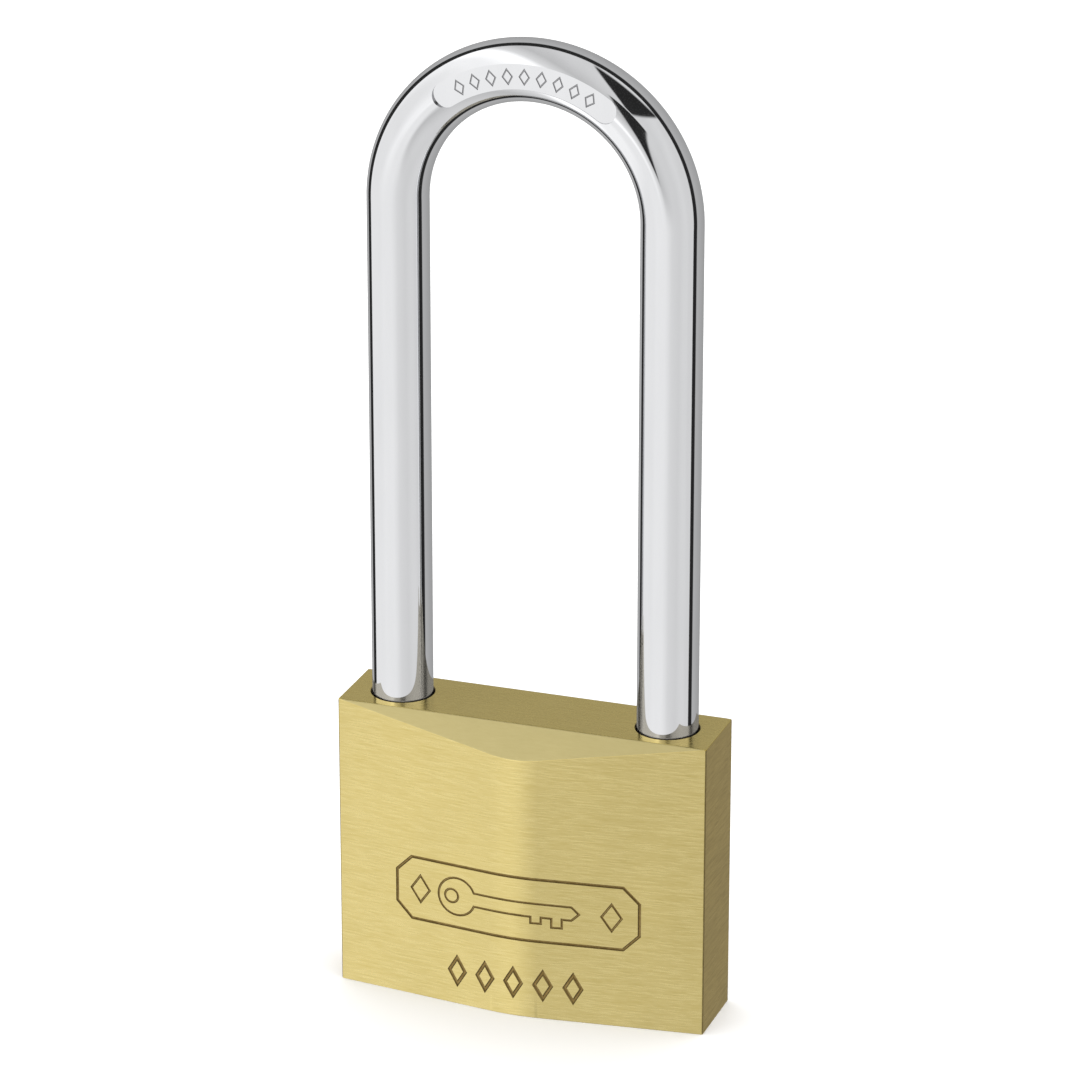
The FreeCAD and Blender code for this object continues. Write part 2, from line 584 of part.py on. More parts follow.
def coil(name, turns, coil_radius, wire_radius, length, start, rotation):
    """Coil spring: a wire swept along a helix, standing between two faces the length apart."""
    helix = doc.addObject("Part::Helix", f"{name}_path")
    bind(helix, Radius=coil_radius, Pitch=f"(({length}) - 2 * {wire_radius}) / {turns}",
         Height=f"({length}) - 2 * {wire_radius}")
    wire = doc.addObject("Part::Circle", f"{name}_wire")
    wire.Placement = FreeCAD.Placement(FreeCAD.Vector(), FreeCAD.Rotation(X_AXIS, 90))
    bind(wire, Radius=wire_radius)
    place(wire, [coil_radius, "0", "0"])
    sweep = doc.addObject("Part::Sweep", f"{name}_coil")
    sweep.Sections = [wire]
    sweep.Spine = (helix, ["Edge1"])
    sweep.Solid = True
    sweep.Frenet = True
    sweep.Placement = FreeCAD.Placement(FreeCAD.Vector(), rotation)
    place(sweep, start)
    return sweep


def tumbler(number, level):
    """One pin stack: key pin, driver pin, spring, and the cap that closes its chamber."""
    key_pin(number, level)
    driver = cylinder(doc, "Part::Cylinder", f"driver_{number}", "sizes.pin_radius", "sizes.driver_length",
                      [f"-{DRIVER_INNER}", "0", level], ALONG_MINUS_X)
    keep(driver, f"driver_pin_{number}")
    length = f"{CAP_INNER} - {DRIVER_OUTER}"
    spring = coil(f"pin_spring_{number}", "sizes.pin_spring_turns", "sizes.pin_coil_radius",
                  "sizes.wire_radius", length, [f"-{DRIVER_OUTER} - sizes.wire_radius", "0", level],
                  ALONG_MINUS_X)
    keep(spring, f"pin_spring_{number}")
    cap = cylinder(doc, "Part::Cylinder", f"cap_{number}", "sizes.chamber_radius", "sizes.cap_length",
                   [f"-{HALF_WIDTH}", "0", level], ALONG_X)
    keep(cap, f"chamber_cap_{number}")


def small_pins_and_caps():
    cap = cylinder(doc, "Part::Cylinder", "cross_cap", "sizes.cross_radius", "sizes.cross_cap_length",
                   [f"-{HALF_WIDTH}", "0", "sizes.bolt_level"], ALONG_X)
    keep(cap, "cross_bore_plug")
    stop_face = face_depth("sizes.stop_offset + sizes.stop_radius")
    stop = cylinder(doc, "Part::Cylinder", "stop_pin", "sizes.stop_radius",
                    f"sizes.stop_reach + {stop_face} - sizes.pin_recess",
                    ["sizes.stop_offset", "-sizes.stop_reach", "sizes.stop_level"], ALONG_Y)
    keep(stop, "shackle_retaining_pin")
    keeper_face = face_depth("sizes.plug_bore_radius + sizes.keeper_radius")
    keeper = cylinder(doc, "Part::Cylinder", "keeper_pin", "sizes.keeper_radius",
                      f"sizes.keeper_reach + {keeper_face} - sizes.pin_recess",
                      ["sizes.plug_bore_radius", "-sizes.keeper_reach", "sizes.keeper_level"], ALONG_Y)
    keep(keeper, "plug_retaining_pin")


def shackle_spring():
    spring = coil("shackle_spring", "sizes.lift_spring_turns", "sizes.lift_coil_radius",
                  "sizes.lift_wire_radius", "sizes.heel_end - sizes.heel_hole_floor",
                  [LEG, "0", "sizes.heel_hole_floor + sizes.lift_wire_radius"], FreeCAD.Rotation())
    keep(spring, "shackle_spring")


lock_body()
shackle()
cylinder_plug()
cam_disc()
locking_bolt("left", -1)
locking_bolt("right", 1)
for pin_number, pin_level in enumerate(CHAMBER_LEVELS, start=1):
    tumbler(pin_number, pin_level)
small_pins_and_caps()
shackle_spring()
doc.recompute()

failed = [f"{item.Name}: {item.State}" for item in doc.Objects if {"Invalid", "Error"} & set(item.State)]
if failed:
    raise RuntimeError(f"objects that did not compute: {failed}")
for item in kept:
    if item.Shape.isNull() or not item.Shape.isValid() or len(item.Shape.Solids) != 1:
        raise RuntimeError(f"{item.Label} is not one valid solid")

os.makedirs("parts", exist_ok=True)
for item in kept:
    item.Shape.exportStep(f"parts/{item.Label}.step")
    bounds = item.Shape.BoundBox
    print(f"{item.Label}: {item.Shape.Volume:.2f} mm3, x {bounds.XMin:.2f}..{bounds.XMax:.2f},"
          f" y {bounds.YMin:.2f}..{bounds.YMax:.2f}, z {bounds.ZMin:.2f}..{bounds.ZMax:.2f}")
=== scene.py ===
"""Looks for a solid brass padlock with a long, polished steel shackle.

Lengths are in metres in the part's own frame: origin at the centre of the underside, +Z up
through the shackle, the front towards -Y. MM turns a size in millimetres into metres.
"""
import math

import bmesh
import bpy
import numpy as np
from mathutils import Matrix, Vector


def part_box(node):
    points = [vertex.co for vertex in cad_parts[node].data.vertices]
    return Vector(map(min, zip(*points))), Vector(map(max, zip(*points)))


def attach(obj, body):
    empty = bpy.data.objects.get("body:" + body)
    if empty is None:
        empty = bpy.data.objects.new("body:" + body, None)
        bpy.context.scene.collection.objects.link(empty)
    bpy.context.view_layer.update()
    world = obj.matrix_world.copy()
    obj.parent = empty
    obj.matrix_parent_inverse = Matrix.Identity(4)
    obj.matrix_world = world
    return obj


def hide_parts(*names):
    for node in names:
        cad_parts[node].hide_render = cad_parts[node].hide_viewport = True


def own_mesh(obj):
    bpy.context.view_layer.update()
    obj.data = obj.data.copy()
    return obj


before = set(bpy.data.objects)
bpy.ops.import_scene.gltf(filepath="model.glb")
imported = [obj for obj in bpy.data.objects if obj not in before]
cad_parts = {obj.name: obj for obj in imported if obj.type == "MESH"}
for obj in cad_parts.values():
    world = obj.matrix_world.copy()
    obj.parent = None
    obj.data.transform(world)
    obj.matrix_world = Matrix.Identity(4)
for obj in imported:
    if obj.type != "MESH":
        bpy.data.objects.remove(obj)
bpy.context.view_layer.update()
MM = 0.001

# ---------------------------------------------------------------- camera
# The lock stands upright and is seen through a long lens, from a little right of its front and
# from above.
azimuth = math.radians(19.7)
elevation = math.radians(21.0)
towards_camera = Vector((
    math.sin(azimuth) * math.cos(elevation),
    -math.cos(azimuth) * math.cos(elevation),
    math.sin(elevation),
))
camera = bpy.data.objects.new("camera", bpy.data.cameras.new("camera"))
camera.data.lens = 173.6
camera.data.sensor_width = 36
camera.data.clip_start = 0.01
camera.data.clip_end = 20
camera.location = Vector((0.09 * MM, 0, 51.12 * MM)) + towards_camera * 523.9 * MM
camera.rotation_mode = "QUATERNION"
camera.rotation_quaternion = (-towards_camera).to_track_quat("-Z", "Y")
bpy.context.scene.collection.objects.link(camera)
bpy.context.scene.camera = camera


# ---------------------------------------------------------------- brass block
# The case is one bar of solid brass, milled to a low rounded ridge front and back and a bevelled
# top, drilled for the works, brushed along its length, and engraved on the front.
class Nodes:
    """Short forms for building a node tree: add a node, and join sockets or set values."""

    def __init__(self, tree):
        self.tree = tree
        tree.nodes.clear()

    def add(self, kind, **settings):
        node = self.tree.nodes.new(kind)
        for name, value in settings.items():
            setattr(node, name, value)
        return node

    def put(self, socket, value):
        if isinstance(value, bpy.types.NodeSocket):
            self.tree.links.new(value, socket)
        else:
            socket.default_value = value

    def math(self, operation, a, b=0.0):
        node = self.add("ShaderNodeMath", operation=operation)
        self.put(node.inputs[0], a)
        self.put(node.inputs[1], b)
        return node.outputs[0]

    def vector(self, operation, a, b=(0, 0, 0)):
        node = self.add("ShaderNodeVectorMath", operation=operation)
        self.put(node.inputs[0], a)
        self.put(node.inputs[1], b)
        return node.outputs["Value" if operation in ("DOT_PRODUCT", "LENGTH") else "Vector"]

    def rescale(self, value, low, high, to_low, to_high, smooth=False):
        node = self.add("ShaderNodeMapRange")
        node.interpolation_type = "SMOOTHSTEP" if smooth else "LINEAR"
        for socket, item in zip(node.inputs[:5], (value, low, high, to_low, to_high)):
            self.put(socket, item)
        return node.outputs[0]

    def noise(self, vector, detail=3.0, roughness=0.55, scale=1.0):
        node = self.add("ShaderNodeTexNoise")
        self.put(node.inputs["Vector"], vector)
        node.inputs["Scale"].default_value = scale
        node.inputs["Detail"].default_value = detail
        node.inputs["Roughness"].default_value = roughness
        return node.outputs["Fac"]

    def mix(self, factor, a, b, blend="MIX"):
        node = self.add("ShaderNodeMix", data_type="RGBA", blend_type=blend)
        self.put(node.inputs[0], factor)
        self.put(node.inputs[6], a)
        self.put(node.inputs[7], b)
        return node.outputs[2]

    def group(self, tree, **values):
        node = self.add("ShaderNodeGroup", node_tree=tree)
        for name, value in values.items():
            self.put(node.inputs[name], value)
        return node.outputs

    def bump(self, height, strength, distance=0.02 * MM):
        node = self.add("ShaderNodeBump")
        node.inputs["Strength"].default_value = strength
        node.inputs["Distance"].default_value = distance
        self.put(node.inputs["Height"], height)
        return node.outputs["Normal"]

    def metal(self, colour, rough, normal):
        surface = self.add("ShaderNodeBsdfPrincipled")
        surface.inputs["Metallic"].default_value = 1.0
        self.put(surface.inputs["Base Color"], colour)
        self.put(surface.inputs["Roughness"], rough)
        self.put(surface.inputs["Normal"], normal)
        self.put(self.add("ShaderNodeOutputMaterial").inputs["Surface"], surface.outputs[0])
        return surface


def new_group(name, inputs, outputs):
    """An empty shader group with the given sockets; returns its tree, helper and end nodes."""
    tree = bpy.data.node_groups.new(name, "ShaderNodeTree")
    for socket_name, kind in inputs:
        tree.interface.new_socket(socket_name, in_out="INPUT", socket_type=kind)
    for socket_name, kind in outputs:
        tree.interface.new_socket(socket_name, in_out="OUTPUT", socket_type=kind)
    nodes = Nodes(tree)
    return tree, nodes, nodes.add("NodeGroupInput").outputs, nodes.add("NodeGroupOutput").inputs


def rgb(red, green, blue):
    return (red, green, blue, 1.0)


def make_grain_group():
    """Abrasive strokes: noise drawn out along one axis and bent a little, fine and broad.

    Density is the number of strokes per metre along X, Y and Z, low along the stroke."""
    floats = [(name, "NodeSocketFloat") for name in ("Fine", "Broad", "Cloud")]
    tree, nodes, given, result = new_group("grain", [("Density", "NodeSocketVector")], floats)
    place = nodes.add("ShaderNodeTexCoord").outputs["Object"]
    sway = nodes.noise(place, 2.0, scale=160.0)
    bend = nodes.math("MULTIPLY", nodes.math("SUBTRACT", sway, 0.5), 0.05 * MM)
    fine = nodes.vector("MULTIPLY", nodes.vector("ADD", place, bend), given["Density"])
    broad = nodes.vector("MULTIPLY", fine, (0.38, 0.38, 0.38))
    nodes.put(result["Fine"], nodes.noise(fine, 2.0, 0.6))
    nodes.put(result["Broad"], nodes.noise(broad, 2.0, 0.5))
    nodes.put(result["Cloud"], nodes.noise(place, 3.0, 0.5, scale=120.0))
    return tree


grain_group = make_grain_group()


SHEEN_SPREAD = 0.75


def brushed_metal(name, colour, dark, density, rough, contrast=1.0, bump=0.1, spread_along=None):
    """Metal with abrasive strokes in its colour, gloss and relief. rough is (smooth, scratched).

    Its sheen spreads along the direction square to the strokes, and in polished metal its
    image is painted grey, a painted reflection."""
    material = bpy.data.materials.new(name)
    material.use_nodes = True
    nodes = Nodes(material.node_tree)
    grain = nodes.group(grain_group, Density=density)
    both = nodes.mix(0.45, grain["Fine"], grain["Broad"])
    spread = 0.17 / contrast
    stroke = nodes.rescale(both, 0.5 - spread, 0.5 + spread, 0.0, 1.0)
    cloud = nodes.rescale(grain["Cloud"], 0.3, 0.7, 0.97, 1.03)
    shade = nodes.mix(1.0, nodes.mix(stroke, dark, colour), cloud, "MULTIPLY")
    gloss = nodes.rescale(stroke, 0.0, 1.0, rough[1], rough[0])
    # Painted reflection: for glossy rays the colour is painted grey, so the metal's image in polished
    # metal looks grey.
    is_mirrored = nodes.add("ShaderNodeLightPath").outputs["Is Glossy Ray"]
    painted_reflection_grey = rgb(0.42, 0.42, 0.43)
    seen = nodes.mix(nodes.math("MULTIPLY", is_mirrored, 0.8), shade, painted_reflection_grey)
    surface = nodes.metal(seen, gloss, nodes.bump(both, bump))
    if spread_along is not None:
        surface.inputs["Anisotropic"].default_value = SHEEN_SPREAD
        direction = nodes.add("ShaderNodeCombineXYZ")
        for socket, value in zip(direction.inputs, spread_along):
            socket.default_value = value
        nodes.put(surface.inputs["Tangent"], direction.outputs[0])
    return material


UPWARD = (0, 0, 1)
FRONT_TO_BACK = (0, 1, 0)
brass_face = brushed_metal("brass_face", rgb(0.83, 0.69, 0.305), rgb(0.70, 0.565, 0.21),
                           (800, 800, 15000), (0.25, 0.33), 1.1, 0.09, UPWARD)
# Painted shade: the side faces are the same brass as the front, painted darker and browner for the side
# turned from the light.
brass_side_painted_shade = brushed_metal("brass_side_painted_shade", rgb(0.67, 0.49, 0.105), rgb(0.46, 0.325, 0.065),
                           (700, 700, 13000), (0.27, 0.36), 1.1, 0.10, UPWARD)
brass_bevel = brushed_metal("brass_bevel", rgb(0.62, 0.53, 0.25), rgb(0.59, 0.50, 0.225),
                            (1500, 12000, 12000), (0.34, 0.40), 0.7, 0.03, UPWARD)
brass_top = brushed_metal("brass_top", rgb(0.86, 0.69, 0.235), rgb(0.74, 0.58, 0.18),
                          (700, 12000, 12000), (0.22, 0.30), 0.9, 0.05, FRONT_TO_BACK)
# Painted dark reflection: the chamfers on the upright edges are painted dark brown.
brass_edge_painted_dark = brushed_metal("brass_edge_painted_dark", rgb(0.34, 0.26, 0.10), rgb(0.22, 0.16, 0.05),
                           (4000, 4000, 1500), (0.30, 0.42), bump=0.05)
brass_engraved = brushed_metal("brass_engraved", rgb(0.36, 0.25, 0.09), rgb(0.24, 0.16, 0.05),
                               (3000, 3000, 3000), (0.35, 0.50), bump=0.05)
brass_bored = brushed_metal("brass_bored", rgb(0.66, 0.53, 0.22), rgb(0.52, 0.40, 0.15),
                            (5000, 5000, 5000), (0.30, 0.42), bump=0.06)


def mesh_piece(name, points, faces, *materials):
    mesh = bpy.data.meshes.new(name)
    mesh.from_pydata(np.asarray(points, float).reshape(-1, 3).tolist(), [], faces)
    for material in materials:
        mesh.materials.append(material)
    piece = bpy.data.objects.new(name, mesh)
    bpy.context.scene.collection.objects.link(piece)
    return piece


def wrap(rows, around, closed=False, ends=True):
    """Faces for a grid of points numbered row by row: each row is a closed ring. A closed grid
    joins its last row to its first, and an open one may get a face over each end."""
    here = np.arange(rows * around).reshape(rows, around)
    ahead = np.roll(here, -1, axis=0)
    if not closed:
        here, ahead = here[:-1], ahead[:-1]
    corners = (here, np.roll(here, -1, axis=1), np.roll(ahead, -1, axis=1), ahead)
    faces = np.stack(corners, axis=-1).reshape(-1, 4).tolist()
    if ends and not closed:
        faces.append(list(range(around))[::-1])
        faces.append(list(range((rows - 1) * around, rows * around)))
    return faces


def grid_piece(name, grid, material, closed=False):
    """A skin over a grid of points: grid[i, j] is the j-th point round the i-th ring."""
    return mesh_piece(name, grid, wrap(grid.shape[0], grid.shape[1], closed), material)


def turned(name, profile, start, axis, material, around=64):
    """A turned piece. The profile is (radius, distance) pairs, and a point stands at
    start + distance * axis + radius * (a cosine and sine of the angle, square to the axis)."""
    radius, distance = np.array(profile, float).T
    axis = np.array(axis, float)
    across = np.roll(axis, 1)
    up = np.cross(axis, across)
    angle = 2 * np.pi * np.arange(around) / around
    spokes = np.cos(angle)[:, None] * across + np.sin(angle)[:, None] * up
    grid = np.array(start, float) + distance[:, None, None] * axis + radius[:, None, None] * spokes
    return grid_piece(name, grid, material)


def prism(name, outline, start, along, material, plane=((1, 0, 0), (0, 1, 0))):
    """A straight prism: an outline of (a, b) pairs laid out on the plane's two directions from
    start, and the same outline again, moved along."""
    flat = np.array(outline, float) @ np.array(plane, float) + np.array(start, float)
    return grid_piece(name, np.stack([flat, flat + np.array(along, float)]), material)


def look_outward(piece):
    """Turn every face of a closed mesh outward, judged by the sign of its volume."""
    work = bmesh.new()
    work.from_mesh(piece.data)
    bmesh.ops.recalc_face_normals(work, faces=work.faces)
    if work.calc_volume(signed=True) < 0:
        bmesh.ops.reverse_faces(work, faces=work.faces)
    work.to_mesh(piece.data)
    work.free()


def apply_modifiers(piece):
    graph = bpy.context.evaluated_depsgraph_get()
    mesh = bpy.data.meshes.new_from_object(piece.evaluated_get(graph), depsgraph=graph)
    piece.modifiers.clear()
    piece.data = mesh


def cut(piece, cutters):
    """Take the cutters out of the piece. The walls keep the cutters' materials."""
    look_outward(piece)
    for cutter in cutters:
        look_outward(cutter)
        step = piece.modifiers.new("cut", "BOOLEAN")
        step.operation = "DIFFERENCE"
        step.solver = "EXACT"
        step.material_mode = "TRANSFER"
        step.object = cutter
    apply_modifiers(piece)
    for cutter in cutters:
        bpy.data.objects.remove(cutter)


def round_edges(piece, width, angle=25, segments=2):
    step = piece.modifiers.new("round", "BEVEL")
    step.width = width
    step.segments = segments
    step.limit_method = "ANGLE"
    step.angle_limit = math.radians(angle)
    apply_modifiers(piece)


def fit(piece, body, slot, *nodes, angle=30):
    """Smooth the piece up to an edge angle, and hand it to its body and CAD nodes. slot is not used."""
    look_outward(piece)
    piece.data.shade_smooth()
    piece.data.set_sharp_from_angle(angle=math.radians(angle))
    step = piece.modifiers.new("weighted", "WEIGHTED_NORMAL")
    step.keep_sharp = True
    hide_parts(*nodes)
    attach(piece, body)


block_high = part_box("lock_body")[1]
half_width = block_high.x
crown = block_high.y
block_top = block_high.z
half_edge = 4.3 * MM
ridge_rise = 2.4 * MM
ridge_radius = 22 * MM
ridge_reach = ridge_radius * math.sin(math.atan(ridge_rise / half_width))
bevel_drop = 3.1 * MM
bevel_fall = bevel_drop / (crown - half_edge)
FACE, SIDE, BEVEL, TOP, EDGE = range(5)


def half_depth(x):
    """Half the block's depth: a straight slope from the edge, and an arc over the ridge."""
    x = np.abs(np.asarray(x, float))
    slope = half_edge + ridge_rise * (1 - x / half_width)
    arc = crown - ridge_radius + np.sqrt(ridge_radius ** 2 - np.minimum(x, ridge_reach) ** 2)
    return np.where(x < ridge_reach, arc, slope)


def brass_block():
    """The plan outline at y = half_depth(x), front and back, carried from the underside up to
    a top that is flat between the edges and falls evenly outside them. The four upright edges
    are broken by a rough chamfer painted dark brown, a painted dark reflection."""
    bend = ridge_reach * np.sin(np.linspace(-np.pi / 2, np.pi / 2, 25))
    x = np.concatenate([[-half_width], bend, [half_width]])
    front = np.stack([x, -half_depth(x)], axis=1)
    plan = np.concatenate([front, front[::-1] * (1, -1)])
    top = block_top - bevel_fall * (np.abs(plan[:, 1]) - half_edge)
    low = np.column_stack([plan, np.zeros(len(plan))])
    high = np.column_stack([plan, top])
    half = len(x)
    count = 2 * half
    faces = wrap(2, count, ends=False)
    look = [SIDE if i in (half - 1, count - 1) else FACE for i in range(count)]
    faces.append(list(range(count))[::-1])
    faces.append(list(range(count, count + half)))
    faces.append(list(range(count + half, 2 * count)))
    faces.append([count, count + half - 1, count + half, 2 * count - 1])
    look += [TOP, BEVEL, BEVEL, TOP]
    looks = (brass_face, brass_side_painted_shade, brass_bevel, brass_top, brass_edge_painted_dark)
    block = mesh_piece("brass_block", [low, high], faces, *looks)
    block.data.polygons.foreach_set("material_index", look)
    look_outward(block)
    edge_width = 0.12 * MM
    round_edges(block, edge_width, angle=20)
    polygons = block.data.polygons
    normals = np.empty(3 * len(polygons), np.float32)
    look = np.empty(len(polygons), np.int32)
    polygons.foreach_get("normal", normals)
    polygons.foreach_get("material_index", look)
    # The chamfer faces get the brass painted dark, a painted dark reflection.
    across, rising = np.abs(normals.reshape(-1, 3)[:, [0, 2]]).T
    is_chamfer = (across > 0.3) & (across < 0.98) & (rising < 0.1)
    look[is_chamfer] = EDGE
    polygons.foreach_set("material_index", look)
    return block


def hole(name, radius, mouth, inward, depth, chamfer=0.05 * MM, material=brass_bored, around=96):
    """Cutter for a drilled hole: a cylinder that flares at its mouth and starts just outside."""
    outside = 0.5 * MM
    profile = [(radius + chamfer + outside, -outside), (radius, chamfer), (radius, depth)]
    return turned(name, profile, mouth, inward, material, around)


def unit(vectors):
    return vectors / np.linalg.norm(vectors, axis=1, keepdims=True)


def engraved_line(name, path, half_line, depth, face, material):
    """Cutter for an engraved line along a closed path of (x, z), on a front face whose distance
    from the middle plane is face(x). Its section is a trapezium, square to the path at each
    point and wider at corners by one over the cosine of half the turn."""
    path = np.array(path, float)
    ends = np.roll(path, -1, axis=0)
    spacing = 0.6 * MM
    counts = np.maximum(1, np.ceil(np.linalg.norm(ends - path, axis=1) / spacing)).astype(int)
    runs = [a + (b - a) * np.arange(n)[:, None] / n for a, b, n in zip(path, ends, counts)]
    line = np.vstack(runs)
    into = unit(line - np.roll(line, 1, axis=0))
    out = unit(np.roll(line, -1, axis=0) - line)
    along = unit(into + out)
    stretch = 1 / np.clip((along * out).sum(axis=1), 0.5, 1)
    side = np.stack([-along[:, 1], along[:, 0]], axis=1) * stretch[:, None]
    outside = 0.08 * MM
    flare = half_line * (1 + 0.5 * outside / depth)
    half_floor = 0.45 * half_line
    section = np.array([(-flare, outside), (flare, outside), (half_floor, -depth), (-half_floor, -depth)])
    x = line[:, :1] + side[:, :1] * section[:, 0]
    z = line[:, 1:] + side[:, 1:] * section[:, 0]
    y = -(face(line[:, :1]) + section[:, 1])
    return grid_piece(name, np.stack([x, y, z], axis=-1), material, closed=True)


LOZENGE = np.array([(-1.05, 0), (0, 1.5), (1.05, 0), (0, -1.5)])
KEY_BITS = [
    (2.3, -0.75), (2.3, -1.45), (3.4, -1.45), (3.4, -0.75), (4.5, -0.75), (4.5, -1.75),
    (5.6, -1.75), (5.6, -0.75), (6.6, -0.75), (7.4, 0), (6.6, 0.75),
]


def key_outline():
    """A plain key lying on its side: a round bow, an arc about its centre, then the blade."""
    bow_centre, bow_radius, half_blade = -6.0, 2.1, 0.75
    start = math.asin(half_blade / bow_radius)
    angle = np.linspace(start, 2 * np.pi - start, 29)
    bow = np.stack([bow_centre + bow_radius * np.cos(angle), bow_radius * np.sin(angle)], axis=1)
    return np.concatenate([bow, KEY_BITS])


def front_engraving():
    """A framed key between two lozenges, and a row of five lozenges under the frame."""
    middle = np.array([0, 12.3])
    wide, high, corner = 13.3, 3.5, 1.7
    quarter = [(wide - corner, high), (wide, high - corner)]
    right = quarter + [(x, -z) for x, z in reversed(quarter)]
    left = [(-x, -z) for x, z in right]
    angle = 2 * np.pi * np.arange(24) / 24
    eye = 0.75 * np.stack([np.cos(angle), np.sin(angle)], axis=1) - (7.0, 0)
    fine = (0.13 * MM, 0.12 * MM)
    drawing = [
        ("frame_line", np.array(right + left), (0.17 * MM, 0.16 * MM)),
        ("key_line", key_outline() - (0.4, 0), fine),
        ("key_eye", eye, fine),
        ("side_mark", LOZENGE - (10.6, 0), fine),
        ("side_mark", LOZENGE + (10.4, 0), fine),
    ]
    for step in range(-2, 3):
        row_mark = LOZENGE * (0.85, 1) + (3.2 * step, 3.8 - middle[1])
        drawing.append(("row_mark", row_mark, (0.21 * MM, 0.16 * MM)))
    return [
        engraved_line(name, (path + middle) * MM, half_line, depth, half_depth, brass_engraved)
        for name, path, (half_line, depth) in drawing
    ]


shackle_low, shackle_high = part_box("shackle")
rod = shackle_high.y
leg = shackle_high.x - rod
bolt_level = 27 * MM
bore_radius = 3.0 * MM
chamber_radius = 1.35 * MM
heel_floor = 3 * MM
pin_numbers = range(1, 6)


def middle_of(node):
    low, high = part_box(node)
    return (low + high) / 2


def block_drillings():
    """Bores from above for the legs, from below for the plug, and from the side for the bolts
    and the pins. The two cross pins come in from the back."""
    down, up, inward, forward = (0, 0, -1), (0, 0, 1), (1, 0, 0), (0, -1, 0)
    leg_hole, toe_floor = 3.35 * MM, 19 * MM
    drillings = [
        hole("toe_hole", leg_hole, (-leg, 0, block_top), down, block_top - toe_floor),
        hole("heel_hole", leg_hole, (leg, 0, block_top), down, block_top - heel_floor),
        hole("plug_hole", 5.0 * MM, (0, 0, 0), up, 25 * MM, 0.12 * MM),
        hole("cross_hole", bore_radius, (-half_width, 0, bolt_level), inward, half_width + leg),
    ]
    for i in pin_numbers:
        mouth = (-half_width, 0, middle_of(f"chamber_cap_{i}").z)
        drillings.append(hole("chamber", chamber_radius, mouth, inward, half_width, around=48))
    for node in ("shackle_retaining_pin", "plug_retaining_pin"):
        low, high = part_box(node)
        middle = middle_of(node)
        mouth = (middle.x, float(half_depth(middle.x)), middle.z)
        depth = mouth[1] - low.y
        drillings.append(hole("pin_hole", middle.x - low.x, mouth, forward, depth, around=48))
    return drillings


block = brass_block()
cut(block, block_drillings() + front_engraving())
fit(block, "case", "brass", "lock_body", angle=28)

# ---------------------------------------------------------------- shackle
# One round rod of hardened steel, bent to a half circle and chrome plated. A flat is pressed into
# the front of the bow; the legs are notched, and the heel leg has a long flat and a ring groove.
end_round = 0.8 * MM
toe_end = 21.5 * MM
heel_end = shackle_low.z
bow_level = shackle_high.z - shackle_high.x
neck_radius = 2.0 * MM
neck_low, neck_high, flat_top = 9.9 * MM, 12.2 * MM, 23.6 * MM


def polished_metal(name, colour, rough, mottle):
    """Bright plated or polished metal. mottle is a faint unevenness of its gloss."""
    material = bpy.data.materials.new(name)
    material.use_nodes = True
    nodes = Nodes(material.node_tree)
    grain = nodes.group(grain_group, Density=(1500, 1500, 260))
    gloss = nodes.rescale(grain["Fine"], 0.3, 0.7, rough - mottle, rough + mottle)
    dull = tuple(0.86 * value for value in colour[:3]) + (1.0,)
    shade = nodes.mix(nodes.rescale(grain["Broad"], 0.35, 0.65, 0.0, 0.16), colour, dull)
    nodes.metal(shade, gloss, nodes.bump(grain["Cloud"], 0.03, 0.01 * MM))
    return material


chrome = polished_metal("chrome", rgb(0.895, 0.90, 0.915), 0.05, 0.015)
# Struck chrome painted dark grey: partly the dull struck metal, partly painted shade in the recesses of
# the pressed flat and its marks.
chrome_struck_and_shade = polished_metal("chrome_struck_and_shade", rgb(0.42, 0.42, 0.43), 0.22, 0.04)


def rod_path():
    """The rod's middle line as (x, z, turn) and its radius: up the toe leg, half a turn round
    the bow, and down the heel leg. Both ends are rounded, and the heel leg narrows to a neck."""
    spin = np.linspace(0, np.pi / 2, 7)
    inset = end_round * (1 - np.sin(spin))
    rise = end_round * (1 - np.cos(spin))
    toe_levels = np.linspace(toe_end + 2 * MM, bow_level, 24)[:-1]
    turn = np.linspace(0, np.pi, 121)
    groove_levels = [neck_high, neck_high, neck_low, neck_low]
    heel_levels = np.concatenate([np.linspace(bow_level, neck_high + 1 * MM, 26)[1:], groove_levels])
    heel_radius = np.concatenate([np.full(25, rod), [rod, neck_radius, neck_radius, rod]])
    parts = [
        (-leg, toe_end + rise, 0.0, rod - inset),
        (-leg, toe_levels, 0.0, rod),
        (-leg * np.cos(turn), bow_level + leg * np.sin(turn), turn, rod),
        (leg, heel_levels, np.pi, heel_radius),
        (leg, heel_end + rise[::-1], np.pi, (rod - inset)[::-1]),
    ]
    return np.hstack([np.stack(np.broadcast_arrays(*part)) for part in parts])


def bent_rod(around=96):
    """Each ring is radius * (cosine outward from the bow's centre, sine along +Y)."""
    x, z, turn, radius = rod_path()[:, :, None]
    angle = 2 * np.pi * np.arange(around) / around
    outward = radius * np.cos(angle)
    back = radius * np.sin(angle)
    grid = np.stack([x - np.cos(turn) * outward, back, z + np.sin(turn) * outward], axis=-1)
    return grid_piece("steel_shackle", grid, chrome)


def box_cutter(name, low, high, material):
    outline = [(low[0], low[1]), (high[0], low[1]), (high[0], high[1]), (low[0], high[1])]
    return prism(name, outline, (0, 0, low[2]), (0, 0, high[2] - low[2]), material)


